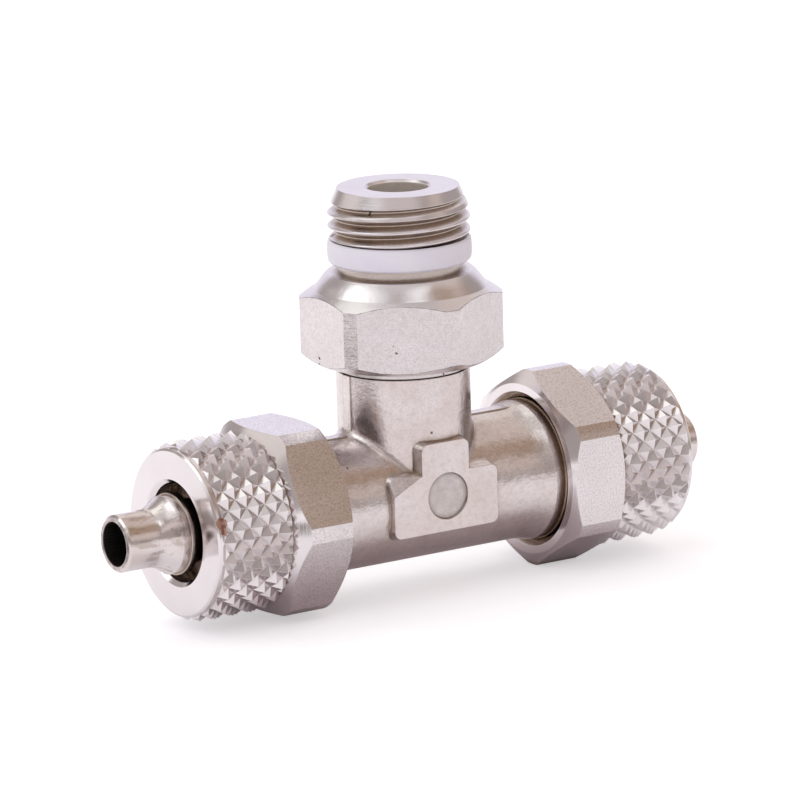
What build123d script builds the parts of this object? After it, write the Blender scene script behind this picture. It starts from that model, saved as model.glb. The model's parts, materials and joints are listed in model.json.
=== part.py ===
"""Swivel male branch tee for plastic tube, with two knurled coupling nuts.

The run lies along X, the threaded stud points along +Z. Heights and distances are named
from the run axis. At the end everything is moved so that the male thread begins at z = 0.
"""
import math
import os

from build123d import *

os.makedirs("parts", exist_ok=True)

# The male thread, G 1/8, and its stud
thread_radius = 9.728 / 2
stud_top_height = 21.3
stud_top_radius = 4.17
lead_cone_height = 1.6
stud_bore_radius = 2.09
bore_chamfer = 0.18
port_face_height = 15.5
neck_radius = 4.26
thread_start_height = 17.95
thread_start_chamfer = 0.35
flange_top_radius = 5.17
flange_edge_round = 0.2
flange_edge_flare = 0.06
flange_foot_radius = 5.92
flange_foot_height = 14.4

# Spanner hexagons, their corners turned down to a cylinder
hex_across_flats = 12.5
hex_corner_radius = 6.93
hex_chamfer_angle = 31
stud_hex_top_height = 14.2
stud_hex_bottom_height = 9.57
stud_hex_turn = 27

# The seal ring behind the thread, its outside slightly barrelled
seal_ring_bottom_height = 16.2
seal_ring_radius = 4.94
seal_ring_end_radius = 4.88
seal_ring_edge = 0.14
seal_ring_gap = 0.07

# The forged body
tube_radius = 4.62
branch_radius = 4.59
branch_top_height = 8.75
junction_fillet = 0.6
flash_strip_width = 0.9
flash_strip_rise = 0.05
flash_strip_end = 8.5
collar_radius = 4.88
collar_start = 9.2
collar_end = 9.9
collar_swell_length = 1.5
collar_swell_steps = 6
arm_shoulder = 0.1
arm_thread_radius = 4.95
arm_thread_end = 15.2
arm_end_chamfer = 0.45
spigot_root_radius = 3.0
spigot_taper = 0.95
spigot_radius = 2.2
run_bore_radius = 1.52

# The raised T-shaped pads, one on each broad side of the body
pad_face = 5.0
pad_root = 2.5
pad_bar_half_length = 4.2
pad_bar_bottom = -1.9
pad_bar_top = 2.2
pad_stem_half_width = 1.9
pad_stem_top = 4.35
pad_corner_round = 0.5
pad_draft = 12
pad_recess_radius = 1.62
pad_recess_depth = 0.15
pad_recess_draft = 20
pad_recess_centre = (0.15, 0.55)

# The forging facet on one upper corner of the pad's bar
pad_facet_length = 2.2
pad_facet_drop = 1.15
pad_facet_depth = 0.55

# The nipple that the tube is pushed on to
nipple_tip = 23.3
nipple_tip_radius = 1.97
nipple_tip_edge = 0.15
flare_start = 20.9
flare_end = 19.5
flare_power = 1.6
flare_steps = 8
land_radius = 2.68
land_end = 18.95
band_radius = 2.8
band_end = 18.4
band_foot = 18.0

# The swivel: the stud's tail turns in the body's socket
socket_radius = 3.5
socket_floor_height = 3.2
tail_clearance = 0.05
tail_chamfer = 0.3
tail_bottom_height = 3.45
stud_collar_radius = 4.5
swivel_end_gap = 0.06
o_ring_groove_radius = 2.66
o_ring_groove_height = 7.1
o_ring_groove_width = 1.3
o_ring_width = 1.1
o_ring_corner = 0.35
o_ring_squeeze_gap = 0.01
retainer_height = 4.9
retainer_wire_radius = 0.38
retainer_groove_clearance = 0.03
retainer_split_angle = 24

# The coupling nuts, measured from the middle of the nut's hexagon
nut_hex_half_length = 2.04
nut_back = -2.2
nut_face = 8.2
nut_face_radius = 5.6
nut_hole_radius = 3.4
nut_hole_chamfer = 0.28
nut_thread_clearance = 0.05
nut_end_clearance = 0.3
nut_back_chamfer = 0.43
nut_waist_radius = 5.72
left_nut_place = 10.45
right_nut_place = 11.92
left_nut_turn = 30
right_nut_turn = 0

# The diamond knurl, a lattice of square pyramids
knurl_radius = 6.18
knurl_floor_radius = 5.74
knurl_pitch_around = 1.49
knurl_half_pitch = 0.712
knurl_first_column = 7.79
knurl_end = 2.38
knurl_end_slope = 0.25
knurl_edge = 0.85
knurl_phase = -5.7
knurl_sleeve_inner_radius = 5.2
knurl_root_depth = 0.12
knurl_margin = 0.05

# How far a cutting shape runs past what it cuts
overshoot = 1.0


def turned(points):
    """Revolve a closed outline of (radius, height) points about Z."""
    outline = [(radius, 0, height) for radius, height in points]
    return revolve(make_face(Polyline(*outline, close=True)), Axis.Z)


def ring(inner, outer, bottom, top):
    """A plain ring about Z."""
    return turned([(inner, bottom), (outer, bottom), (outer, top), (inner, top)])


def hex_drop(radius):
    """How far the corner chamfer has fallen at a radius outside the flats."""
    return (radius - hex_across_flats / 2) * math.tan(math.radians(hex_chamfer_angle))


def hex_block(bottom, top, foot_radius):
    """A hexagon with turned corners and chamfered ends; bottom and top are the heights
    where the chamfers meet the middle of a flat."""
    drop = hex_drop(hex_corner_radius)
    rise = -hex_drop(foot_radius)
    barrel = turned([
        (0, bottom - rise),
        (foot_radius, bottom - rise),
        (hex_corner_radius, bottom + drop),
        (hex_corner_radius, top - drop),
        (foot_radius, top + rise),
        (0, top + rise),
    ])
    outline = RegularPolygon(hex_across_flats / 2, 6, major_radius=False)
    prism = Pos(0, 0, bottom - overshoot) * extrude(outline, top - bottom + 2 * overshoot)
    return barrel & prism


def swivel_stud():
    """Hexagon, male thread blank with seal ring groove, and the tail that turns."""
    hexagon = Rot(0, 0, stud_hex_turn) * hex_block(
        stud_hex_bottom_height, stud_hex_top_height, flange_foot_radius)
    tail_radius = socket_radius - tail_clearance
    outside = turned([
        (0, tail_bottom_height),
        (tail_radius - tail_chamfer, tail_bottom_height),
        (tail_radius, tail_bottom_height + tail_chamfer),
        (tail_radius, branch_top_height + swivel_end_gap),
        (stud_collar_radius, branch_top_height + swivel_end_gap),
        (stud_collar_radius, stud_hex_bottom_height),
        (flange_foot_radius, stud_hex_bottom_height),
        (flange_foot_radius, flange_foot_height),
        (flange_top_radius + flange_edge_flare, port_face_height - flange_edge_round),
        (flange_top_radius - flange_edge_round, port_face_height),
        (neck_radius, port_face_height),
        (neck_radius, thread_start_height - thread_start_chamfer),
        (thread_radius, thread_start_height),
        (thread_radius, stud_top_height - lead_cone_height),
        (stud_top_radius, stud_top_height),
        (0, stud_top_height),
    ])
    bore = Pos(0, 0, tail_bottom_height) * extrude(Circle(stud_bore_radius), stud_top_height)
    mouth = turned([
        (0, stud_top_height),
        (stud_bore_radius + bore_chamfer, stud_top_height),
        (stud_bore_radius, stud_top_height - bore_chamfer),
        (0, stud_top_height - bore_chamfer),
    ])
    seal_groove = ring(
        o_ring_groove_radius, socket_radius,
        o_ring_groove_height - o_ring_groove_width / 2,
        o_ring_groove_height + o_ring_groove_width / 2)
    wire_groove = retainer_torus(retainer_groove_clearance)
    return hexagon + outside - bore - mouth - seal_groove - wire_groove


def retainer_torus(extra):
    """The space of the wire ring, with some clearance all round."""
    return Pos(0, 0, retainer_height) * Torus(socket_radius, retainer_wire_radius + extra)


def seal_ring():
    """White ring that seals on the mouth of the port. It fills the neck below the thread
    and follows the thread's first chamfer."""
    chamfer_start = thread_start_height - thread_start_chamfer
    chamfer_slope = thread_start_chamfer / (thread_radius - neck_radius)
    rim_radius = seal_ring_end_radius - seal_ring_edge
    top = chamfer_start + (rim_radius - neck_radius) * chamfer_slope - seal_ring_gap
    middle = (seal_ring_bottom_height + top) / 2
    barrel = ThreePointArc(
        (seal_ring_end_radius, 0, seal_ring_bottom_height + seal_ring_edge),
        (seal_ring_radius, 0, middle),
        (seal_ring_end_radius, 0, top - seal_ring_edge),
    )
    inside = Polyline(
        (seal_ring_end_radius, 0, top - seal_ring_edge),
        (rim_radius, 0, top),
        (neck_radius, 0, chamfer_start - seal_ring_gap),
        (neck_radius, 0, seal_ring_bottom_height),
        (rim_radius, 0, seal_ring_bottom_height),
        (seal_ring_end_radius, 0, seal_ring_bottom_height + seal_ring_edge),
    )
    return revolve(make_face(barrel + inside), Axis.Z)


def o_ring():
    """Rubber ring on the stud's tail, drawn as squeezed by the socket."""
    outer = socket_radius - o_ring_squeeze_gap
    section = Pos((o_ring_groove_radius + outer) / 2, 0, o_ring_groove_height) * (
        Plane.XZ * RectangleRounded(outer - o_ring_groove_radius, o_ring_width, o_ring_corner))
    return revolve(section, Axis.Z)


def retaining_ring():
    """Split wire ring, half in the tail's groove and half in the socket's."""
    wire = Pos(0, 0, retainer_height) * Torus(socket_radius, retainer_wire_radius)
    split = Rot(0, 0, -retainer_split_angle / 2) * turned_sector(retainer_split_angle)
    return wire - split


def turned_sector(angle):
    """A wedge that clears the gap of the split ring."""
    return Pos(0, 0, retainer_height) * Cylinder(
        socket_radius + overshoot, 2 * overshoot, arc_size=angle)


def arm_outline():
    """Half of the run as (radius, distance) points, from the centre to the nipple's tip."""
    flare = []
    for step in range(flare_steps + 1):
        share = step / flare_steps
        distance = flare_end + (flare_start - flare_end) * share
        rise = (land_radius - nipple_tip_radius) * (1 - share) ** flare_power
        flare.append((nipple_tip_radius + rise, distance))
    swell = []
    for step in range(collar_swell_steps + 1):
        share = step / collar_swell_steps
        distance = collar_start - collar_swell_length * (1 - share)
        swell.append((tube_radius + (collar_radius - tube_radius) * share ** 2, distance))
    return [
        (0, 0),
        (tube_radius, 0),
        *swell,
        (collar_radius, collar_end),
        (arm_thread_radius, collar_end + arm_shoulder),
        (arm_thread_radius, arm_thread_end),
        (arm_thread_radius - arm_end_chamfer, arm_thread_end + arm_end_chamfer),
        (spigot_root_radius, arm_thread_end + arm_end_chamfer),
        (spigot_radius, arm_thread_end + arm_end_chamfer + spigot_taper),
        (spigot_radius, band_foot),
        (band_radius, band_end),
        (band_radius, land_end),
        (land_radius, land_end),
        *flare,
        (nipple_tip_radius, nipple_tip - nipple_tip_edge),
        (nipple_tip_radius - nipple_tip_edge, nipple_tip),
        (0, nipple_tip),
    ]


def raised(outline, face_plane):
    """A pad's outline standing on the body, with sloping sides."""
    return extrude(face_plane * outline, pad_root - pad_face, taper=-pad_draft)


def pad():
    """One raised T, its face at -Y, with a shallow round recess and a forging facet."""
    face_plane = Plane((0, -pad_face, 0), x_dir=(1, 0, 0), z_dir=(0, -1, 0))
    bar_height = pad_bar_top - pad_bar_bottom
    bar = raised(
        Pos(0, pad_bar_bottom + bar_height / 2)
        * RectangleRounded(2 * pad_bar_half_length, bar_height, pad_corner_round),
        face_plane)
    corner = Vector(-pad_bar_half_length, -pad_face, pad_bar_top)
    facet_start = corner - Vector(0, 0, pad_facet_drop)
    along = corner + Vector(pad_facet_length, 0, 0) - facet_start
    inward = corner + Vector(0, pad_facet_depth, 0) - facet_start
    facet = Plane(facet_start, x_dir=along, z_dir=along.cross(inward))
    bar -= facet * Box(
        4 * pad_facet_length, 4 * pad_facet_length, 2 * pad_facet_length,
        align=(Align.CENTER, Align.CENTER, Align.MIN))
    stem_outline = Pos(0, pad_stem_top / 2) * Rectangle(2 * pad_stem_half_width, pad_stem_top)
    stem_outline = fillet(
        stem_outline.vertices().filter_by_position(Axis.Y, pad_bar_top, pad_stem_top + overshoot),
        pad_corner_round)
    stem = raised(stem_outline, face_plane)
    recess = extrude(
        face_plane * Pos(*pad_recess_centre) * Circle(pad_recess_radius),
        -pad_recess_depth, taper=pad_recess_draft)
    return bar + stem - recess


def tee_body():
    """Forged tee with its threaded arms, nipples and the socket for the stud."""
    right_arm = Rot(0, 90, 0) * turned(arm_outline())
    left_arm = Rot(0, -90, 0) * turned(arm_outline())
    branch = extrude(Circle(branch_radius), branch_top_height)
    body = right_arm + left_arm + branch
    body = fillet(body.edges().filter_by(GeomType.BSPLINE), junction_fillet)
    run_strip = Box(2 * flash_strip_end, flash_strip_width, 2 * (tube_radius + flash_strip_rise))
    branch_strip = Pos(0, 0, branch_top_height / 2) * Box(
        2 * (branch_radius + flash_strip_rise), flash_strip_width, branch_top_height)
    body = body + run_strip + branch_strip + pad() + Rot(0, 0, 180) * pad()
    run_bore = Rot(0, 90, 0) * Cylinder(run_bore_radius, 2 * (nipple_tip + overshoot))
    branch_bore = extrude(Circle(stud_bore_radius), branch_top_height)
    socket = Pos(0, 0, socket_floor_height) * extrude(Circle(socket_radius), branch_top_height)
    wire_groove = retainer_torus(retainer_groove_clearance)
    return body - run_bore - branch_bore - socket - wire_groove


def knurl_sleeve():
    """Sleeve whose outside is the pyramid lattice. Points where column and row numbers
    add up to an even number are groove crossings, the others are pyramid tips."""
    around = round(2 * math.pi * knurl_radius / knurl_pitch_around)
    rows = 2 * around
    columns = math.ceil((knurl_first_column - knurl_end) / knurl_half_pitch)

    def node(column, row):
        radius = knurl_floor_radius if (column + row) % 2 == 0 else knurl_radius
        angle = math.radians(knurl_phase) + math.pi * (row % rows) / around
        height = knurl_first_column - column * knurl_half_pitch
        return Vector(radius * math.cos(angle), radius * math.sin(angle), height)

    def inner(column, row):
        outer = node(column, row)
        scale = knurl_sleeve_inner_radius / math.hypot(outer.X, outer.Y)
        return Vector(outer.X * scale, outer.Y * scale, outer.Z)

    def patch(*points):
        return Face(Wire.make_polygon(points, close=True))

    faces = []
    for column in range(columns + 1):
        for row in range(rows):
            if (column + row) % 2 == 0:
                continue
            tip = node(column, row)
            for side in (-1, 1):
                if 0 <= column + side <= columns:
                    beside = node(column + side, row)
                    faces.append(patch(tip, beside, node(column, row + 1)))
                    faces.append(patch(tip, beside, node(column, row - 1)))
    for row in range(rows):
        faces.append(patch(
            inner(0, row), inner(0, row + 1),
            inner(columns, row + 1), inner(columns, row)))
    for column in (0, columns):
        rim = Wire.make_polygon([node(column, row) for row in range(rows)], close=True)
        hole = Wire.make_polygon([inner(column, row) for row in range(rows)], close=True)
        faces.append(Face(rim, [hole]))
    return Solid(Shell(faces))


def nut():
    """Coupling nut about Z, its open face up and the middle of its hexagon at zero."""
    hexagon = hex_block(-nut_hex_half_length, nut_hex_half_length, nut_waist_radius)
    stem_radius = knurl_floor_radius - knurl_root_depth
    outer_radius = knurl_radius + knurl_margin
    stem = turned([
        (0, 0),
        (stem_radius, 0),
        (stem_radius, nut_face - knurl_margin),
        (nut_face_radius, nut_face),
        (0, nut_face),
    ])
    envelope = turned([
        (0, knurl_end),
        (nut_waist_radius, knurl_end),
        (outer_radius, knurl_end + knurl_end_slope),
        (outer_radius, nut_face - knurl_edge),
        (nut_face_radius, nut_face),
        (0, nut_face),
    ])
    knurl = knurl_sleeve() & envelope
    face_cone = turned([
        (0, nut_face - knurl_edge - knurl_margin),
        (knurl_floor_radius, nut_face - knurl_edge - knurl_margin),
        (knurl_floor_radius, nut_face - knurl_root_depth),
        (nut_face_radius, nut_face),
        (0, nut_face),
    ])
    thread_bore_radius = arm_thread_radius + nut_thread_clearance
    thread_bore_end = (
        arm_thread_end + arm_end_chamfer + nut_end_clearance - left_nut_place)
    cone_end = thread_bore_end + thread_bore_radius - nut_hole_radius
    inside = turned([
        (0, nut_back - overshoot),
        (thread_bore_radius + nut_back_chamfer, nut_back - overshoot),
        (thread_bore_radius + nut_back_chamfer, nut_back),
        (thread_bore_radius, nut_back + nut_back_chamfer),
        (thread_bore_radius, thread_bore_end),
        (nut_hole_radius, cone_end),
        (nut_hole_radius, nut_face - nut_hole_chamfer),
        (nut_hole_radius + nut_hole_chamfer, nut_face),
        (nut_hole_radius + nut_hole_chamfer, nut_face + overshoot),
        (0, nut_face + overshoot),
    ])
    back_trim = Pos(0, 0, nut_back) * Cylinder(
        hex_corner_radius + overshoot, 2 * hex_corner_radius,
        align=(Align.CENTER, Align.CENTER, Align.MAX))
    return hexagon + stem + face_cone + knurl - inside - back_trim


def save(solid, name):
    """Move a solid to the part's frame and write it."""
    placed = Pos(0, 0, -thread_start_height) * solid
    placed.label = name
    export_step(placed, f"parts/{name}.step")


coupling_nut = nut()
left_nut = Pos(-left_nut_place, 0, 0) * Rot(0, -90, 0) * Rot(0, 0, left_nut_turn) * coupling_nut
right_nut = Pos(right_nut_place, 0, 0) * Rot(0, 90, 0) * Rot(0, 0, right_nut_turn) * coupling_nut

save(tee_body(), "tee_body")
save(left_nut, "left_nut")
save(right_nut, "right_nut")
save(swivel_stud(), "swivel_stud")
save(seal_ring(), "thread_seal_ring")
save(o_ring(), "swivel_o_ring")
save(retaining_ring(), "retaining_ring")
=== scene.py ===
import json
import math
from collections import namedtuple

import bmesh
import bpy
from mathutils import Matrix, Vector

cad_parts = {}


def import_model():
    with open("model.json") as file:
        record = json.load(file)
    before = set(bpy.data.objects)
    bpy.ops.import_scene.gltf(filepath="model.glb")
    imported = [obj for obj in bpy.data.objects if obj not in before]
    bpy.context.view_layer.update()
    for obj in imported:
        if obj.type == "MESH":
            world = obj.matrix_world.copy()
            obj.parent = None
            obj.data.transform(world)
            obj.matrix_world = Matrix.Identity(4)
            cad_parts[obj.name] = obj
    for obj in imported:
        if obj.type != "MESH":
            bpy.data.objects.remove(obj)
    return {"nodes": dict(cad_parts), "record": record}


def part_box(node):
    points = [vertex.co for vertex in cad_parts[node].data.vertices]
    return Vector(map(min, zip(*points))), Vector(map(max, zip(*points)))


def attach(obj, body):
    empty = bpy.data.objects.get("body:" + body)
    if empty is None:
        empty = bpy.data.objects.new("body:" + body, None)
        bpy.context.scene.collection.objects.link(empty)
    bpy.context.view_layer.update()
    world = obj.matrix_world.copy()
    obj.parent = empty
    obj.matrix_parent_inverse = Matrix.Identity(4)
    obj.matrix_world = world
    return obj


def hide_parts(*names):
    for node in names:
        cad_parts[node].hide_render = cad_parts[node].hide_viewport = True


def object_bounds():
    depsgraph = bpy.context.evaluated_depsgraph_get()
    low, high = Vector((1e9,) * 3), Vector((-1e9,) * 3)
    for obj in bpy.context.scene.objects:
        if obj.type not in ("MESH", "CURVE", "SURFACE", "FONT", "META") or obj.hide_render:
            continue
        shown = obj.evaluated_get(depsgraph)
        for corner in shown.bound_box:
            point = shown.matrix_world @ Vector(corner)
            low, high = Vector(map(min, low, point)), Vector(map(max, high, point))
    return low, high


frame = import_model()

MM = 0.001
cad_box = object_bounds()
nodes = frame["nodes"]

# The run's axis in the frame
RUN_AXIS_HEIGHT = -17.95 * MM
RUN_CENTRE = Vector((0, 0, RUN_AXIS_HEIGHT))

# The photograph's camera
CAMERA_AZIMUTH = -32.96
CAMERA_ELEVATION = 13.18
CAMERA_ROLL = -1.62
CAMERA_DISTANCE = 459 * MM
CAMERA_AIM = (0.55 * MM, 1.32 * MM, -11.92 * MM)
SENSOR_WIDTH = 36
LENS = 301.4

# The G 1/8 thread: its radius and the end of its full turns come from the record's mount
THREAD_MOUNT = next(m for m in frame["record"]["mounts"] if m["name"] == "port_thread")
THREAD_RADIUS = THREAD_MOUNT["dims"]["r_mm"] * MM
THREAD_FULL_END = THREAD_MOUNT["dims"]["length_mm"] * MM
THREAD_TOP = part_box("swivel_stud")[1].z
THREAD_TOP_RADIUS = 4.17 * MM
THREAD_NECK_RADIUS = 4.26 * MM
THREAD_CHAMFER = 0.35 * MM
THREAD_PITCH = 0.907 * MM
THREAD_DEPTH = 0.55 * MM
THREAD_LAND = 0.1
THREAD_CREST_ANGLE = 147
THREAD_CREST_HEIGHT = 0.76 * MM
THREAD_STEPS_AROUND = 180
THREAD_STEPS_IN_PITCH = 24

# The knurl's grooves have narrow flat floors
KNURL_INNER_RADIUS = 5.5 * MM
KNURL_GROOVE_FLOOR = 0.15 * MM
KNURL_GROOVE_TURN = 0.3

# How the CAD surfaces are cleaned, with angles in degrees
MERGE_DISTANCE = 0.0005 * MM
FLAT_ANGLE = 0.6
STUD_SHARP_ANGLE = 18
NUT_SHARP_ANGLE = 12

# Noise patterns: features for each metre, detail and roughness
PATTERNS = {
    "drift": (300.0, 3.0, 0.5),
    "seal_cloud": (500.0, 3.0, 0.5),
    "waves": (800.0, 2.0, 0.5),
    "rubber_bloom": (1500.0, 4.0, 0.5),
    "recess_cloud": (1600.0, 4.0, 0.6),
    "streaks": (1700.0, 4.0, 0.65),
    "broken_lines": (1800.0, 4.0, 0.5),
    "blotches": (2400.0, 3.0, 0.6),
    "seal_rings": (5000.0, 2.0, 0.5),
    "scratches": (5200.0, 2.0, 0.5),
    "drawn_wire": (6000.0, 3.0, 0.5),
    "nick_edge": (6500.0, 4.0, 0.5),
    "speckle": (8000.0, 4.0, 0.6),
    "lathe_rings": (9000.0, 3.0, 0.6),
}
RINGS_ALONG = {"X": (1, 0.02, 0.02), "Z": (0.02, 0.02, 1)}
SCRATCHES_ALONG = {"X": (0.12, 0.5, 1), "Z": (1, 1, 0.08)}
STREAKS_ALONG = (0.4, 1, 1)
WIRE_ALONG = (1, 1, 0.3)

# The noise values between which a mark fades in
SPECK_RANGE = (0.56, 0.32)
BLOTCH_RANGE = (0.54, 0.34)
STREAK_RANGE = (0.50, 0.66)
BROKEN_RANGE = (0.40, 0.54)

# The plating's tones as ramps over the slow drift, and what lies on it
BODY_NICKEL = [(0.3, (0.67, 0.60, 0.57)), (0.7, (0.78, 0.73, 0.73))]
STUD_NICKEL = [(0.3, (0.71, 0.67, 0.68)), (0.7, (0.77, 0.735, 0.75))]
NUT_NICKEL = [(0.3, (0.75, 0.71, 0.72)), (0.7, (0.81, 0.775, 0.79))]
NICKEL_GRAIN = (0.50, 0.44, 0.43)
# A brown for patina with painted shade in inner corners, a darker band on the arms' threads and stain
# streaks on the nipples
PATINA_AND_SHADE_BROWN = (0.30, 0.22, 0.15)
# The pad's recess: dull clouds, and painted shade along its rim
RECESS_DULL_AND_SHADE = (0.30, 0.27, 0.265)
# Dark nicks, and painted shade in broken lines along the stud hexagon's edges
DIRT_AND_EDGE_SHADE = (0.10, 0.07, 0.06)
STAIN = (0.46, 0.25, 0.19)

# A bore: its radius, its colour and what it adds to the roughness. The run's bore colour
# is painted shade, the stud's bore colour is painted light.
Bore = namedtuple("Bore", "radius colour roughness")
RUN_BORE_PAINTED_SHADE = Bore(1.52 * MM, (0.035, 0.026, 0.024), 0.3)
STUD_BORE_PAINTED_LIGHT = Bore(2.09 * MM, (0.96, 0.92, 0.86), 0.25)
NO_BORE = Bore(0.0, PATINA_AND_SHADE_BROWN, 0.0)
BORE_EDGE = (0.05 * MM, -0.02 * MM)

# The relief of a finish is given in this unit
RELIEF = 0.01 * MM
SPECKLE_HEIGHT = 0.8
SCRATCH_HEIGHT = 0.6
NICK_DEPTH = 1.5
DRIFT_ROUGHNESS = 0.06
NICK_ROUGHNESS = 0.3
NICK_STRENGTH = 0.9
CORNER_REACH = 0.6 * MM
CORNER_RAGGEDNESS = 0.25

# A finish: the plating's tones, the roughness where it is turned and where it is grained,
# the strength of fine specks and of blotches, the heights of lathe rings, slow waves and
# small dents in units of RELIEF, the radius of the rounded edges, the strength of the brown
# patina and painted shade in corners, and how open a corner is where they start and where
# they are full
Finish = namedtuple("Finish", "tones turned satin specks blotches rings waves dents edge_round "
                              "film film_start film_full")
BODY_FINISH = Finish(
    tones=BODY_NICKEL, turned=0.13, satin=0.20, specks=0.40, blotches=0.34, rings=0.5,
    waves=4.5, dents=2.0, edge_round=0.10 * MM, film=0.85, film_start=0.92, film_full=0.58)
STUD_FINISH = Finish(
    tones=STUD_NICKEL, turned=0.22, satin=0.21, specks=0.55, blotches=0.30, rings=0.6,
    waves=2.5, dents=1.2, edge_round=0.06 * MM, film=0.85, film_start=0.92, film_full=0.58)
NUT_FINISH = Finish(
    tones=NUT_NICKEL, turned=0.11, satin=0.18, specks=0.72, blotches=0.10, rings=0.6,
    waves=0.5, dents=0.7, edge_round=0.03 * MM, film=0.60, film_start=0.78, film_full=0.35)

# Where each piece is turned and where it keeps its grain. A flat leans less towards the
# axis than FLAT_LEAN says.
TURNED_ARM_START = 15.2 * MM
STUD_HEX_TOP = -3.75 * MM
STUD_HEX_BOTTOM = -8.38 * MM
STUD_HEX_CORE = 6.2 * MM
LEFT_NUT_HEX_END = -12.5 * MM
RIGHT_NUT_HEX_END = 13.96 * MM
FLAT_LEAN = (0.35, 0.2)

# Marks that belong to one place: a darker band on the arms' threads, stain streaks on the nipples,
# dull clouds with painted shade along the rim in the pad's recess, and painted shade in broken lines
# along the stud hexagon's edges
ARM_THREAD = (9.5 * MM, 18.8 * MM)
ARM_THREAD_DARKENING = 0.6
NIPPLE_START = 19.0 * MM
NIPPLE_FILM = 0.45
PAD_FACE = -5.0 * MM
RECESS_CENTRE = (0.15 * MM, PAD_FACE, -17.4 * MM)
RECESS_RADIUS = 1.6 * MM
RECESS_DEPTH = 0.15 * MM
RECESS_RIM = 0.4 * MM
# The strength of the painted shade along the recess's rim, then of its dull clouds
RECESS_RIM_SHADE = 0.4
RECESS_CLOUD_FILM = 0.7
# Where the painted shade lines along the stud hexagon's edges show
ROUNDED_EDGE = (0.998, 0.988)
LEVEL_EDGE = (0.05, 0.15)

# Nicks and pits that the photograph shows: place and radius in mm. Their ragged edges come
# from noise, and they fade in between the two distances past the radius.
BODY_NICKS = [((-6.82, -3.3, -14.72), 0.1), ((-0.77, -4.52, -12.93), 0.07)]
STUD_NICKS = [((0.36, -4.48, -9.0), 0.08), ((-6.22, 0.76, -7.9), 0.09), ((-6.22, 0.79, -8.32), 0.1),
              ((-3.76, -2.2, 2.19), 0.11), ((-4.07, 2.03, 0.12), 0.2), ((-3.9, -4.9, -6.4), 0.05),
              ((-3.7, -5.0, -6.9), 0.07), ((-4.0, -4.8, -7.1), 0.05), ((-2.0, -5.9, -7.9), 0.05),
              ((0.1, -6.2, -7.4), 0.06), ((0.6, -6.4, -4.9), 0.06)]
NUT_NICKS = [((-18.26, -5.5, -16.3), 0.42), ((-18.15, -5.7, -16.85), 0.26)]
NICK_RAGGEDNESS = 0.36 * MM
NICK_EDGE = (0.20 * MM, 0.14 * MM)

# The floor touches the lowest corner of the nuts. It glows in the camera's eyes and, by
# other amounts, in the metal. In the metal only, a painted shadow darkens the strip under
# the object and a painted pool of light brightens the floor to the left.
FLOOR_HEIGHT = cad_box[0][2]
FLOOR_SIZE = 3.0
FLOOR_COLOUR = (0.84, 0.83, 0.86)
FLOOR_GLOW_SEEN = 0.45
FLOOR_GLOW_MIRRORED = 0.25
# A painted pool of light: in the metal only, the floor glows more to the left of the object
PAINTED_POOL_OF_LIGHT = 0.12
PAINTED_POOL_AZIMUTH = -115
PAINTED_POOL_REACH = (12 * MM, 45 * MM)
# A painted shadow: in the metal only, the floor's strip under the object is darker and glows less
PAINTED_SHADOW_ASIDE = (10 * MM, 4.5 * MM)
PAINTED_SHADOW_ALONG = (20 * MM, 14 * MM)
PAINTED_SHADOW_COLOUR = (0.62, 0.53, 0.55)
PAINTED_SHADOW_GLOW = 0.17

# A painted dark reflection: a patch of floor beside the object that is dark in the metal
# only. Its azimuth from the camera, half width and soft edge in degrees, then where it
# starts and ends
PAINTED_DARK_REFLECTION = (-69, 23, 4, 38 * MM, 75 * MM)
PAINTED_DARK_REFLECTION_END_EDGE = 3 * MM
PAINTED_DARK_REFLECTION_COLOUR = (0.09, 0.065, 0.045)

# The studio that the metal mirrors: a dim room, a white backdrop and soft cards.
# A card is (azimuth from the camera, elevation, half width, half height, edge, colour),
# with all angles in degrees.
ROOM_COLOUR = (0.44, 0.395, 0.38)
CEILING_COLOUR = (0.77, 0.73, 0.71)
CEILING_START = 55
CARDS = {
    "front_screen": (0, 38, 34, 8, 8, (0.82, 0.73, 0.72)),
    "white_backdrop": (180, 6, 32, 20, 6, (1.0, 0.97, 1.10)),
    "back_screen": (170, 38, 18, 10, 5, (1.0, 0.92, 0.88)),
    "left_window": (-71, 50, 27, 19, 6, (1.05, 1.05, 1.05)),
    "left_back_window": (-150, 64, 16, 16, 5, (1.25, 1.25, 1.2)),
    "right_lamp_screen": (50, 62, 18, 9, 5, (1.3, 1.3, 1.3)),
    "brown_card": (93, 47, 24, 17, 5, (0.45, 0.33, 0.245)),
    "right_low_screen": (70, 21, 15, 9, 5, (0.74, 0.64, 0.59)),
    "left_low_screen": (-100, 20, 22, 10, 5, (0.86, 0.80, 0.76)),
    "right_back_screen": (127, 52, 20, 14, 6, (0.76, 0.66, 0.61)),
}

# A lamp is (azimuth from the camera, elevation, width, height, watts, colour, whether the
# metal mirrors it), with angles in degrees and sizes in metres
LAMP_DISTANCE = 0.5
LAMPS = {
    "left_lamp": (-82, 48, 0.28, 0.2, 0.13, (1, 1, 1), True),
    "back_lamp": (-150, 64, 0.12, 0.12, 0.16, (1, 1, 1), False),
    "fill_lamp": (-20, 32, 0.4, 0.3, 0.45, (0.88, 0.90, 1.0), False),
}


def node_tree(name):
    """A new material with an empty node tree and its output."""
    material = bpy.data.materials.new(name)
    material.use_nodes = True
    tree = material.node_tree
    tree.nodes.clear()
    output = tree.nodes.new("ShaderNodeOutputMaterial")
    return material, tree, output


def add(tree, kind, **settings):
    """A node with its attributes and its sockets' values set."""
    node = tree.nodes.new(kind)
    for key, value in settings.items():
        if key in node.inputs:
            node.inputs[key].default_value = value
        else:
            setattr(node, key, value)
    return node


def object_place(tree):
    """The shaded point in the frame's coordinates."""
    return add(tree, "ShaderNodeTexCoord").outputs["Object"]


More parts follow.
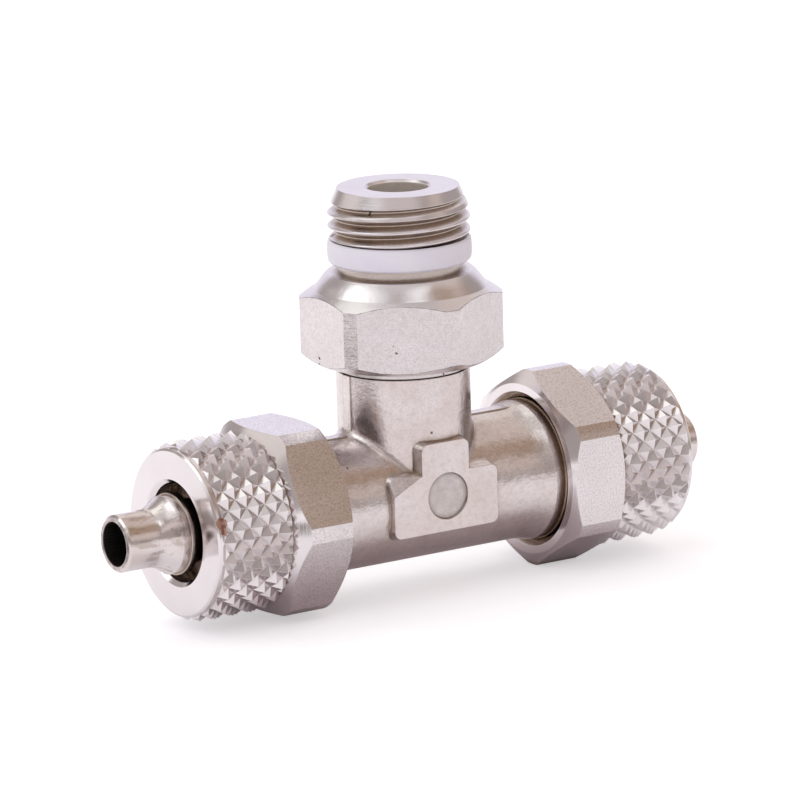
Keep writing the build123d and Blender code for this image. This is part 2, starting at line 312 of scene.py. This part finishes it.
def ramp(tree, source, stops):
    """A colour ramp of (place, grey or colour) stops, fed by a socket."""
    node = tree.nodes.new("ShaderNodeValToRGB")
    elements = node.color_ramp.elements
    while len(elements) < len(stops):
        elements.new(0.5)
    for element, (place, value) in zip(elements, stops):
        element.position = place
        colour = (value, value, value) if isinstance(value, (int, float)) else value
        element.color = (*colour, 1)
    tree.links.new(source, node.inputs["Fac"])
    return node.outputs["Color"]


def calculate(tree, operation, *values):
    """One step of arithmetic on sockets or numbers."""
    node = add(tree, "ShaderNodeMath", operation=operation)
    for socket, value in zip(node.inputs, values):
        if isinstance(value, (int, float)):
            socket.default_value = value
        else:
            tree.links.new(value, socket)
    return node.outputs["Value"]


def product(tree, first, *others):
    """Sockets or numbers multiplied together."""
    for other in others:
        first = calculate(tree, "MULTIPLY", first, other)
    return first


def total(tree, first, *others):
    """Sockets or numbers added up."""
    for other in others:
        first = calculate(tree, "ADD", first, other)
    return first


def remainder(tree, share):
    """What a share leaves of the whole."""
    return calculate(tree, "SUBTRACT", 1, share)


def along(tree, place, direction):
    """How far a socket's vector reaches along a fixed direction."""
    node = add(tree, "ShaderNodeVectorMath", operation="DOT_PRODUCT")
    tree.links.new(place, node.inputs[0])
    node.inputs[1].default_value = direction
    return node.outputs["Value"]


def either_way(tree, place, direction):
    """How far a socket's vector reaches along a fixed line, without its sign."""
    return calculate(tree, "ABSOLUTE", along(tree, place, direction))


def distance_from(tree, place, centre):
    """How far a socket's point lies from a fixed one."""
    node = add(tree, "ShaderNodeVectorMath", operation="DISTANCE")
    tree.links.new(place, node.inputs[0])
    node.inputs[1].default_value = centre
    return node.outputs["Value"]


def fade(tree, value, start, end):
    """A smooth step from 0 at start to 1 at end."""
    node = add(tree, "ShaderNodeMapRange", interpolation_type="SMOOTHSTEP")
    node.inputs["From Min"].default_value = start
    node.inputs["From Max"].default_value = end
    tree.links.new(value, node.inputs["Value"])
    return node.outputs["Result"]


def span(tree, value, start, end, edge):
    """A mask that is 1 while a value lies between start and end, with soft edges."""
    rise = fade(tree, value, start - edge, start + edge)
    fall = fade(tree, value, end + edge, end - edge)
    return product(tree, rise, fall)


def blend_colour(tree, share, first, second):
    """Mix two colours, each a socket or fixed values."""
    node = add(tree, "ShaderNodeMix", data_type="RGBA")
    tree.links.new(share, node.inputs[0])
    for socket, colour in ((node.inputs[6], first), (node.inputs[7], second)):
        if isinstance(colour, tuple):
            socket.default_value = (*colour, 1)
        else:
            tree.links.new(colour, socket)
    return node.outputs[2]


def radius_about(tree, place, axis):
    """A point's distance from the line through the run's centre along X or from Z."""
    if axis == "X":
        keep, centre = (0, 1, 1), (0, 0, RUN_AXIS_HEIGHT)
    else:
        keep, centre = (1, 1, 0), (0, 0, 0)
    offset = add(tree, "ShaderNodeVectorMath", operation="SUBTRACT")
    tree.links.new(place, offset.inputs[0])
    offset.inputs[1].default_value = centre
    flat = add(tree, "ShaderNodeVectorMath", operation="MULTIPLY")
    tree.links.new(offset.outputs["Vector"], flat.inputs[0])
    flat.inputs[1].default_value = keep
    size = add(tree, "ShaderNodeVectorMath", operation="LENGTH")
    tree.links.new(flat.outputs["Vector"], size.inputs[0])
    return size.outputs["Value"]


def noise(tree, place, pattern, stretch=(1, 1, 1)):
    """One of the noise patterns, drawn out along the axes where the stretch is below 1."""
    fineness, detail, roughness = PATTERNS[pattern]
    mapping = add(tree, "ShaderNodeMapping", Scale=stretch)
    tree.links.new(place, mapping.inputs["Vector"])
    texture = add(tree, "ShaderNodeTexNoise", Scale=fineness, Detail=detail, Roughness=roughness)
    tree.links.new(mapping.outputs["Vector"], texture.inputs["Vector"])
    return texture.outputs["Fac"]


def bump(tree, height, strength):
    """A bump node that is fed by a height in units of RELIEF."""
    node = add(tree, "ShaderNodeBump", Strength=strength, Distance=RELIEF)
    tree.links.new(height, node.inputs["Height"])
    return node


def nicks(tree, place, spots):
    """Small ragged nicks and pits, each given by its place and its radius."""
    ragged = product(tree, noise(tree, place, "nick_edge"), NICK_RAGGEDNESS)
    marks = []
    for centre, radius in spots:
        gap = distance_from(tree, place, [value * MM for value in centre])
        outer, inner = (radius * MM + past for past in NICK_EDGE)
        marks.append(fade(tree, total(tree, gap, ragged), outer, inner))
    worn = marks[0]
    for mark in marks[1:]:
        worn = calculate(tree, "MAXIMUM", worn, mark)
    return worn


def corner_patina_and_shade(tree, speckle, finish):
    """Brown patina and painted shade in the inner corners, by how closed in they are, with a ragged
    edge.
    """
    corners = add(tree, "ShaderNodeAmbientOcclusion", samples=6, Distance=CORNER_REACH)
    ragged = product(tree, calculate(tree, "SUBTRACT", speckle, 0.5), CORNER_RAGGEDNESS)
    open_share = total(tree, corners.outputs["AO"], ragged)
    film = fade(tree, open_share, finish.film_start, finish.film_full)
    return product(tree, film, finish.film)


def nickel(name, axis, grained, marks_and_shade, finish, bore, spots, spot_colour):
    """Nickel plate on a turned or forged brass piece. Its grained zone has a fine
    speckle and scratches, the rest has faint rings from the lathe. Brown patina and painted
    shade darken the inner corners, the nicks are dark or stained, and a bore's colour is
    painted shade in the run and painted light in the stud. All edges are slightly rounded."""
    material, tree, output = node_tree(name)
    links = tree.links
    place = object_place(tree)
    zone = grained(tree, place)
    worn = nicks(tree, place, spots)
    inside = fade(tree, radius_about(tree, place, axis), *(bore.radius + past for past in BORE_EDGE))
    drift = noise(tree, place, "drift")
    speckle = noise(tree, place, "speckle")
    blotch = noise(tree, place, "blotches")
    rounding = add(tree, "ShaderNodeBevel", samples=6, Radius=finish.edge_round).outputs["Normal"]

    specks = product(tree, fade(tree, speckle, *SPECK_RANGE), finish.specks)
    blotches = product(tree, fade(tree, blotch, *BLOTCH_RANGE), finish.blotches)
    grain = product(tree, zone, calculate(tree, "MAXIMUM", specks, blotches))
    shade = blend_colour(tree, grain, ramp(tree, drift, finish.tones), NICKEL_GRAIN)
    # Brown patina and painted shade in the inner corners
    shade = blend_colour(tree, corner_patina_and_shade(tree, speckle, finish), shade, PATINA_AND_SHADE_BROWN)
    # The piece's own marks, some of them painted shade
    for mark, colour in marks_and_shade(tree, place, rounding):
        shade = blend_colour(tree, mark, shade, colour)
    shade = blend_colour(tree, product(tree, worn, NICK_STRENGTH), shade, spot_colour)
    # The bore's colour: painted shade in the run's bore, painted light in the stud's
    shade = blend_colour(tree, inside, shade, bore.colour)

    rings = noise(tree, place, "lathe_rings", RINGS_ALONG[axis])
    scratches = noise(tree, place, "scratches", SCRATCHES_ALONG[axis])
    waves = noise(tree, place, "waves")
    grain = total(tree, product(tree, speckle, SPECKLE_HEIGHT),
                  product(tree, scratches, SCRATCH_HEIGHT), product(tree, blotch, finish.dents))
    relief = total(tree, product(tree, rings, finish.rings), product(tree, grain, zone),
                   product(tree, waves, finish.waves))
    relief = calculate(tree, "SUBTRACT", relief, product(tree, worn, NICK_DEPTH))
    surface = bump(tree, relief, 1.0)
    links.new(rounding, surface.inputs["Normal"])

    gloss = total(tree, product(tree, zone, finish.satin - finish.turned), finish.turned,
                  product(tree, drift, DRIFT_ROUGHNESS), product(tree, worn, NICK_ROUGHNESS),
                  product(tree, inside, bore.roughness))
    shader = add(tree, "ShaderNodeBsdfPrincipled", Metallic=1.0)
    links.new(gloss, shader.inputs["Roughness"])
    links.new(shade, shader.inputs["Base Color"])
    links.new(surface.outputs["Normal"], shader.inputs["Normal"])
    links.new(shader.outputs["BSDF"], output.inputs["Surface"])
    return material


def true_normal(tree):
    """The direction that a face really has, before any shading."""
    return add(tree, "ShaderNodeNewGeometry").outputs["True Normal"]


def flats_round(tree, direction):
    """The faces that lie along the axis of their piece, as a mask."""
    return fade(tree, either_way(tree, true_normal(tree), direction), *FLAT_LEAN)


def body_grain(tree, place):
    """The forged skin, between the turned ends of the run."""
    side = either_way(tree, place, (1, 0, 0))
    return fade(tree, side, TURNED_ARM_START + 0.1 * MM, TURNED_ARM_START - 0.1 * MM)


def hexagon_grain(tree, place):
    """The flats of the stud's hexagon."""
    height = along(tree, place, (0, 0, 1))
    band = span(tree, height, STUD_HEX_BOTTOM, STUD_HEX_TOP, 0.02 * MM)
    outside = fade(tree, radius_about(tree, place, "Z"), STUD_HEX_CORE - 0.1 * MM, STUD_HEX_CORE)
    return product(tree, band, outside, flats_round(tree, (0, 0, 1)))


def nut_grain(tree, place):
    """The flats of the coupling nuts' hexagons."""
    side = along(tree, place, (1, 0, 0))
    band = span(tree, side, LEFT_NUT_HEX_END, RIGHT_NUT_HEX_END, 0.05 * MM)
    return product(tree, band, flats_round(tree, (1, 0, 0)))


def recess_dull_and_shade(tree, place):
    """The pad's plain round recess, darker in dull clouds and with painted shade along its rim."""
    reach = distance_from(tree, place, RECESS_CENTRE)
    inside = fade(tree, reach, RECESS_RADIUS + 0.15 * MM, RECESS_RADIUS)
    depth = along(tree, place, (0, 1, 0))
    sunk = fade(tree, depth, PAD_FACE + 0.2 * RECESS_DEPTH, PAD_FACE + 0.8 * RECESS_DEPTH)
    rim = fade(tree, reach, RECESS_RADIUS - RECESS_RIM, RECESS_RADIUS)
    cloud = noise(tree, place, "recess_cloud")
    amount = total(tree, product(tree, rim, RECESS_RIM_SHADE), product(tree, cloud, RECESS_CLOUD_FILM))
    return product(tree, inside, sunk, amount)


def body_marks_and_shade(tree, place, normal):
    """The pad's recess with dull clouds and painted shade along its rim, a darker band on the arms'
    threads and stain streaks on the nipples.
    """
    side = either_way(tree, place, (1, 0, 0))
    thread = product(tree, span(tree, side, *ARM_THREAD, 0.15 * MM), ARM_THREAD_DARKENING)
    nipple = fade(tree, side, NIPPLE_START, NIPPLE_START + 0.5 * MM)
    streaks = fade(tree, noise(tree, place, "streaks", STREAKS_ALONG), *STREAK_RANGE)
    streaked = product(tree, nipple, streaks, NIPPLE_FILM)
    return [(recess_dull_and_shade(tree, place), RECESS_DULL_AND_SHADE), (thread, PATINA_AND_SHADE_BROWN), (streaked, PATINA_AND_SHADE_BROWN)]


def stud_edge_shade(tree, place, normal):
    """Painted shade in broken dark lines along the upper and lower edges of the stud's
    hexagon. An edge shows where the rounded normal leaves the true one."""
    agreement = add(tree, "ShaderNodeVectorMath", operation="DOT_PRODUCT")
    tree.links.new(normal, agreement.inputs[0])
    tree.links.new(true_normal(tree), agreement.inputs[1])
    edges = fade(tree, agreement.outputs["Value"], *ROUNDED_EDGE)
    height = along(tree, place, (0, 0, 1))
    band = span(tree, height, STUD_HEX_BOTTOM - 0.3 * MM, STUD_HEX_TOP + 0.1 * MM, 0.1 * MM)
    level = fade(tree, either_way(tree, normal, (0, 0, 1)), *LEVEL_EDGE)
    broken = fade(tree, noise(tree, place, "broken_lines"), *BROKEN_RANGE)
    return [(product(tree, edges, level, band, broken), DIRT_AND_EDGE_SHADE)]


def no_marks(tree, place, normal):
    """A nut has no marks of its own."""
    return []


def seal_plastic():
    """Milky white sealing plastic, slightly see-through, with faint turning marks."""
    material, tree, output = node_tree("seal_plastic")
    place = object_place(tree)
    shader = add(tree, "ShaderNodeBsdfPrincipled")
    shader.inputs["Subsurface Weight"].default_value = 0.35
    shader.inputs["Subsurface Radius"].default_value = (1, 0.95, 1)
    shader.inputs["Subsurface Scale"].default_value = 0.6 * MM
    cloud = noise(tree, place, "seal_cloud")
    tree.links.new(ramp(tree, cloud, [(0.3, (0.86, 0.84, 0.96)), (0.7, (0.91, 0.89, 0.99))]),
                   shader.inputs["Base Color"])
    marks = noise(tree, place, "seal_rings", RINGS_ALONG["Z"])
    tree.links.new(ramp(tree, marks, [(0.3, 0.34), (0.7, 0.46)]), shader.inputs["Roughness"])
    tree.links.new(bump(tree, marks, 0.3).outputs["Normal"], shader.inputs["Normal"])
    tree.links.new(shader.outputs["BSDF"], output.inputs["Surface"])
    return material


def black_rubber():
    """The O-ring's dull black rubber."""
    material, tree, output = node_tree("black_rubber")
    shader = add(tree, "ShaderNodeBsdfPrincipled")
    bloom = noise(tree, object_place(tree), "rubber_bloom")
    tree.links.new(ramp(tree, bloom, [(0.3, 0.012), (0.7, 0.03)]), shader.inputs["Base Color"])
    tree.links.new(ramp(tree, bloom, [(0.3, 0.5), (0.7, 0.65)]), shader.inputs["Roughness"])
    tree.links.new(shader.outputs["BSDF"], output.inputs["Surface"])
    return material


def spring_wire():
    """The retaining ring's drawn spring steel."""
    material, tree, output = node_tree("spring_wire")
    shader = add(tree, "ShaderNodeBsdfPrincipled", Metallic=1.0)
    drawn = noise(tree, object_place(tree), "drawn_wire", WIRE_ALONG)
    tree.links.new(ramp(tree, drawn, [(0.3, (0.40, 0.39, 0.38)), (0.7, (0.52, 0.51, 0.50))]),
                   shader.inputs["Base Color"])
    tree.links.new(ramp(tree, drawn, [(0.3, 0.25), (0.7, 0.4)]), shader.inputs["Roughness"])
    tree.links.new(shader.outputs["BSDF"], output.inputs["Surface"])
    return material


def dress(name, material):
    """Give a CAD node its material."""
    for slot in nodes[name].material_slots:
        slot.material = material


def heading(azimuth, elevation):
    """The direction of an angle from the camera's azimuth and of a height angle."""
    turn = math.radians(CAMERA_AZIMUTH + azimuth)
    lift = math.radians(elevation)
    return Vector((math.sin(turn) * math.cos(lift), -math.cos(turn) * math.cos(lift),
                   math.sin(lift)))


def soft_sides(tree, slope, half, edge):
    """A mask that fades where a slope passes the half angle of a card, in degrees."""
    return fade(tree, slope, math.tan(math.radians(half + edge)), math.tan(math.radians(half - edge)))


def card(tree, place, azimuth, elevation, half_width, half_height, edge):
    """Where a rectangular card stands in the studio, as a mask with soft edges."""
    centre = heading(azimuth, elevation)
    side = heading(azimuth + 90, 0)
    up = side.cross(centre)
    depth = calculate(tree, "MAXIMUM", along(tree, place, centre), 0.01)
    masks = []
    for direction, half in ((side, half_width), (up, half_height)):
        slope = calculate(tree, "DIVIDE", either_way(tree, place, direction), depth)
        masks.append(soft_sides(tree, slope, half, edge))
    return product(tree, *masks)


def world():
    """The studio: a dim warm room with a pale ceiling, a backdrop and cards."""
    surroundings = bpy.data.worlds.new("studio")
    surroundings.use_nodes = True
    tree = surroundings.node_tree
    tree.nodes.clear()
    output = add(tree, "ShaderNodeOutputWorld")
    place = add(tree, "ShaderNodeTexCoord").outputs["Generated"]
    height = along(tree, place, (0, 0, 1))
    ceiling = fade(tree, height, math.sin(math.radians(CEILING_START)), 1)
    tone = blend_colour(tree, ceiling, ROOM_COLOUR, CEILING_COLOUR)
    for azimuth, elevation, half_width, half_height, edge, colour in CARDS.values():
        mask = card(tree, place, azimuth, elevation, half_width, half_height, edge)
        tone = blend_colour(tree, mask, tone, colour)
    light = add(tree, "ShaderNodeBackground", Strength=1.0)
    tree.links.new(tone, light.inputs["Color"])
    tree.links.new(light.outputs["Background"], output.inputs["Surface"])
    bpy.context.scene.world = surroundings


def painted_shadow_strip(tree, place):
    """The strip of floor under the object, where the metal shows a painted shadow, as a mask."""
    aside = fade(tree, either_way(tree, place, (0, 1, 0)), *PAINTED_SHADOW_ASIDE)
    length = fade(tree, either_way(tree, place, (1, 0, 0)), *PAINTED_SHADOW_ALONG)
    return product(tree, aside, length)


def painted_dark_reflection(tree, place):
    """The patch of floor beside the object that the metal shows as a painted dark reflection, as a
    mask.
    """
    azimuth, half_width, edge, start, end = PAINTED_DARK_REFLECTION
    reach = along(tree, place, heading(azimuth, 0))
    aside = either_way(tree, place, heading(azimuth + 90, 0))
    slope = calculate(tree, "DIVIDE", aside, calculate(tree, "MAXIMUM", reach, 1 * MM))
    return product(tree, span(tree, reach, start, end, PAINTED_DARK_REFLECTION_END_EDGE),
                   soft_sides(tree, slope, half_width, edge))


def white_floor():
    """Floor paint that is white by its own colour and glow where the camera sees it and
    where the metal mirrors it. In the metal only, a painted shadow darkens the strip under
    the object, a painted pool of light brightens the floor to the left and a painted dark
    reflection lies beside the object."""
    material, tree, output = node_tree("white_floor")
    place = object_place(tree)
    light_path = add(tree, "ShaderNodeLightPath").outputs
    mirrored = calculate(tree, "MAXIMUM", light_path["Is Glossy Ray"],
                         light_path["Is Transmission Ray"])
    # Painted shadow under the object, in the metal only
    painted_shadow = product(tree, mirrored, painted_shadow_strip(tree, place))
    # Painted dark reflection beside the object, in the metal only
    dark_reflection_share = product(tree, mirrored, painted_dark_reflection(tree, place))
    # A painted pool of light to the left, in the metal only
    left = fade(tree, along(tree, place, heading(PAINTED_POOL_AZIMUTH, 0)), *PAINTED_POOL_REACH)
    mirrored_glow_and_pool = total(tree, product(tree, left, PAINTED_POOL_OF_LIGHT), FLOOR_GLOW_MIRRORED)
    kept = remainder(tree, product(tree, painted_shadow, 1 - PAINTED_SHADOW_GLOW))
    glow = total(tree, product(tree, light_path["Is Camera Ray"], FLOOR_GLOW_SEEN),
                 product(tree, mirrored, mirrored_glow_and_pool, kept))
    glow = product(tree, glow, remainder(tree, dark_reflection_share))
    paint = add(tree, "ShaderNodeBsdfDiffuse")
    tone = blend_colour(tree, painted_shadow, FLOOR_COLOUR, PAINTED_SHADOW_COLOUR)
    tree.links.new(blend_colour(tree, dark_reflection_share, tone, PAINTED_DARK_REFLECTION_COLOUR), paint.inputs["Color"])
    white = add(tree, "ShaderNodeEmission", Color=(1, 1, 1, 1))
    tree.links.new(glow, white.inputs["Strength"])
    both = add(tree, "ShaderNodeAddShader")
    tree.links.new(paint.outputs["BSDF"], both.inputs[0])
    tree.links.new(white.outputs["Emission"], both.inputs[1])
    tree.links.new(both.outputs["Shader"], output.inputs["Surface"])
    return material


def floor():
    """A plain white floor, which keeps the object's shadow."""
    bpy.ops.mesh.primitive_plane_add(size=FLOOR_SIZE, location=(0, 0, FLOOR_HEIGHT))
    plane = bpy.context.object
    plane.name = "floor"
    plane.data.materials.append(white_floor())


def copy_of_node(name):
    """A CAD node's surface as an editable mesh, with its flat faces whole."""
    surface = bmesh.new()
    surface.from_mesh(nodes[name].data)
    bmesh.ops.remove_doubles(surface, verts=surface.verts, dist=MERGE_DISTANCE)
    bmesh.ops.dissolve_limit(surface, angle_limit=math.radians(FLAT_ANGLE), verts=surface.verts,
                             edges=surface.edges, delimit={"NORMAL"})
    return surface


def piece_from(surface, name, body, slot, sharp_angle, *stands_for):
    """Turn an edited surface into a smooth-shaded piece that rides on a body. Edges that
    turn by more than the sharp angle, in degrees, stay crisp."""
    mesh = bpy.data.meshes.new(name)
    surface.to_mesh(mesh)
    surface.free()
    mesh.attributes.remove(mesh.attributes["custom_normal"])
    mesh.shade_smooth()
    mesh.set_sharp_from_angle(angle=math.radians(sharp_angle))
    piece = bpy.data.objects.new(name, mesh)
    bpy.context.scene.collection.objects.link(piece)
    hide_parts(*stands_for)
    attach(piece, body)
    return piece


def thread_envelope(height):
    """The blank that the thread is cut in: a chamfer, a cylinder and the lead cone."""
    start = THREAD_NECK_RADIUS + (THREAD_RADIUS - THREAD_NECK_RADIUS) * (
        1 + height / THREAD_CHAMFER)
    lead = THREAD_TOP_RADIUS + (THREAD_RADIUS - THREAD_TOP_RADIUS) * (
        (THREAD_TOP - height) / (THREAD_TOP - THREAD_FULL_END))
    return min(start, THREAD_RADIUS, lead)


def thread_profile(turns):
    """The thread's radius at a number of turns from its crest: straight flanks with
    rounded crest and root."""
    share = abs(turns - round(turns)) * 2
    flank = min(max((share - THREAD_LAND) / (1 - 2 * THREAD_LAND), 0), 1)
    rounded = flank * flank * (3 - 2 * flank)
    return THREAD_RADIUS - THREAD_DEPTH * (flank + rounded) / 2


def cut_thread(surface):
    """Cut the thread round Z as a right-handed helix, its rows along the turns."""
    bottom = -THREAD_CHAMFER
    row_step = THREAD_PITCH / THREAD_STEPS_IN_PITCH
    first = math.floor((bottom - THREAD_PITCH - THREAD_CREST_HEIGHT) / row_step) - 1
    last = math.ceil((THREAD_TOP - THREAD_CREST_HEIGHT) / row_step) + THREAD_STEPS_IN_PITCH
    crest_turn = THREAD_CREST_ANGLE / 360
    columns = []
    for column in range(THREAD_STEPS_AROUND):
        share = column / THREAD_STEPS_AROUND
        angle = 2 * math.pi * (share + crest_turn)
        points = []
        for row in range(first, last + 1):
            turns = row / THREAD_STEPS_IN_PITCH
            height = THREAD_CREST_HEIGHT + (turns + share) * THREAD_PITCH
            height = min(max(height, bottom), THREAD_TOP)
            radius = min(thread_envelope(height), thread_profile(turns))
            points.append(surface.verts.new(
                (radius * math.cos(angle), radius * math.sin(angle), height)))
        columns.append(points)
    rows = last - first + 1
    for column, points in enumerate(columns):
        wraps = column == THREAD_STEPS_AROUND - 1
        beside = columns[0 if wraps else column + 1]
        shift = THREAD_STEPS_IN_PITCH if wraps else 0
        for row in range(rows - 1 - shift):
            corners = [points[row], beside[row + shift], beside[row + 1 + shift], points[row + 1]]
            heights = {round(corner.co.z, 9) for corner in corners}
            if len(heights) > 1:
                surface.faces.new(corners)
    bmesh.ops.delete(surface, geom=[v for v in surface.verts if not v.link_faces],
                     context="VERTS")
    bmesh.ops.remove_doubles(surface, verts=surface.verts, dist=MERGE_DISTANCE)


def threaded_stud():
    """The stud with a real thread where the CAD solid has a plain cylinder."""
    surface = copy_of_node("swivel_stud")
    inside = THREAD_TOP_RADIUS - 0.05 * MM
    blank = [
        face for face in surface.faces
        if abs(face.normal.z) < 0.99 and all(
            vert.co.xy.length > inside and vert.co.z > -THREAD_CHAMFER - 1e-6
            for vert in face.verts)
    ]
    bmesh.ops.delete(surface, geom=blank, context="FACES")
    cut_thread(surface)
    return piece_from(surface, "threaded_stud", "stud", "stud_metal", STUD_SHARP_ANGLE, "swivel_stud")


def knurled_nut(node):
    """A coupling nut whose knurl grooves have narrow flat floors. Its body has the
    node's name."""
    surface = copy_of_node(node)
    grooves = [
        edge for edge in surface.edges
        if edge.is_manifold and not edge.is_convex and edge.calc_face_angle() > KNURL_GROOVE_TURN
        and all((vert.co - RUN_CENTRE).yz.length > KNURL_INNER_RADIUS for vert in edge.verts)
    ]
    bmesh.ops.bevel(surface, geom=grooves, offset=KNURL_GROOVE_FLOOR / 2, segments=1,
                    profile=0.5, affect="EDGES", offset_type="OFFSET", clamp_overlap=True)
    return piece_from(surface, "knurled_" + node, node, "nut_metal", NUT_SHARP_ANGLE, node)


def soft_box(name, azimuth, elevation, width, height, power, colour, mirrored):
    """An area light at a direction from the object, turned to face it."""
    light = bpy.data.lights.new(name, "AREA")
    light.shape = "RECTANGLE"
    light.size = width
    light.size_y = height
    light.energy = power
    light.color = colour
    lamp = bpy.data.objects.new(name, light)
    bpy.context.collection.objects.link(lamp)
    direction = heading(azimuth, elevation)
    lamp.location = Vector(CAMERA_AIM) + direction * LAMP_DISTANCE
    lamp.rotation_euler = direction.to_track_quat("Z", "Y").to_euler()
    lamp.visible_glossy = mirrored


def camera():
    """The photograph's viewpoint, with its slight roll."""
    data = bpy.data.cameras.new("camera")
    data.sensor_width = SENSOR_WIDTH
    data.lens = LENS
    data.clip_start = 0.01
    data.clip_end = 10
    eye = bpy.data.objects.new("camera", data)
    bpy.context.collection.objects.link(eye)
    away = heading(0, CAMERA_ELEVATION)
    eye.location = Vector(CAMERA_AIM) + away * CAMERA_DISTANCE
    level = away.to_track_quat("Z", "Y").to_matrix()
    eye.rotation_euler = (level @ Matrix.Rotation(math.radians(CAMERA_ROLL), 3, "Z")).to_euler()
    bpy.context.scene.camera = eye


bpy.context.scene.view_settings.view_transform = "Standard"
world()
floor()
camera()
for name, settings in LAMPS.items():
    soft_box(name, *settings)

body_nickel = nickel("body_nickel", "X", body_grain, body_marks_and_shade, BODY_FINISH, RUN_BORE_PAINTED_SHADE,
                     BODY_NICKS, DIRT_AND_EDGE_SHADE)
stud_nickel = nickel("stud_nickel", "Z", hexagon_grain, stud_edge_shade, STUD_FINISH, STUD_BORE_PAINTED_LIGHT,
                     STUD_NICKS, DIRT_AND_EDGE_SHADE)
nut_nickel = nickel("nut_nickel", "X", nut_grain, no_marks, NUT_FINISH, NO_BORE,
                    NUT_NICKS, STAIN)
threaded_stud().data.materials.append(stud_nickel)
for nut in ("left_nut", "right_nut"):
    knurled_nut(nut).data.materials.append(nut_nickel)
dress("tee_body", body_nickel)
dress("thread_seal_ring", seal_plastic())
dress("swivel_o_ring", black_rubber())
dress("retaining_ring", spring_wire())
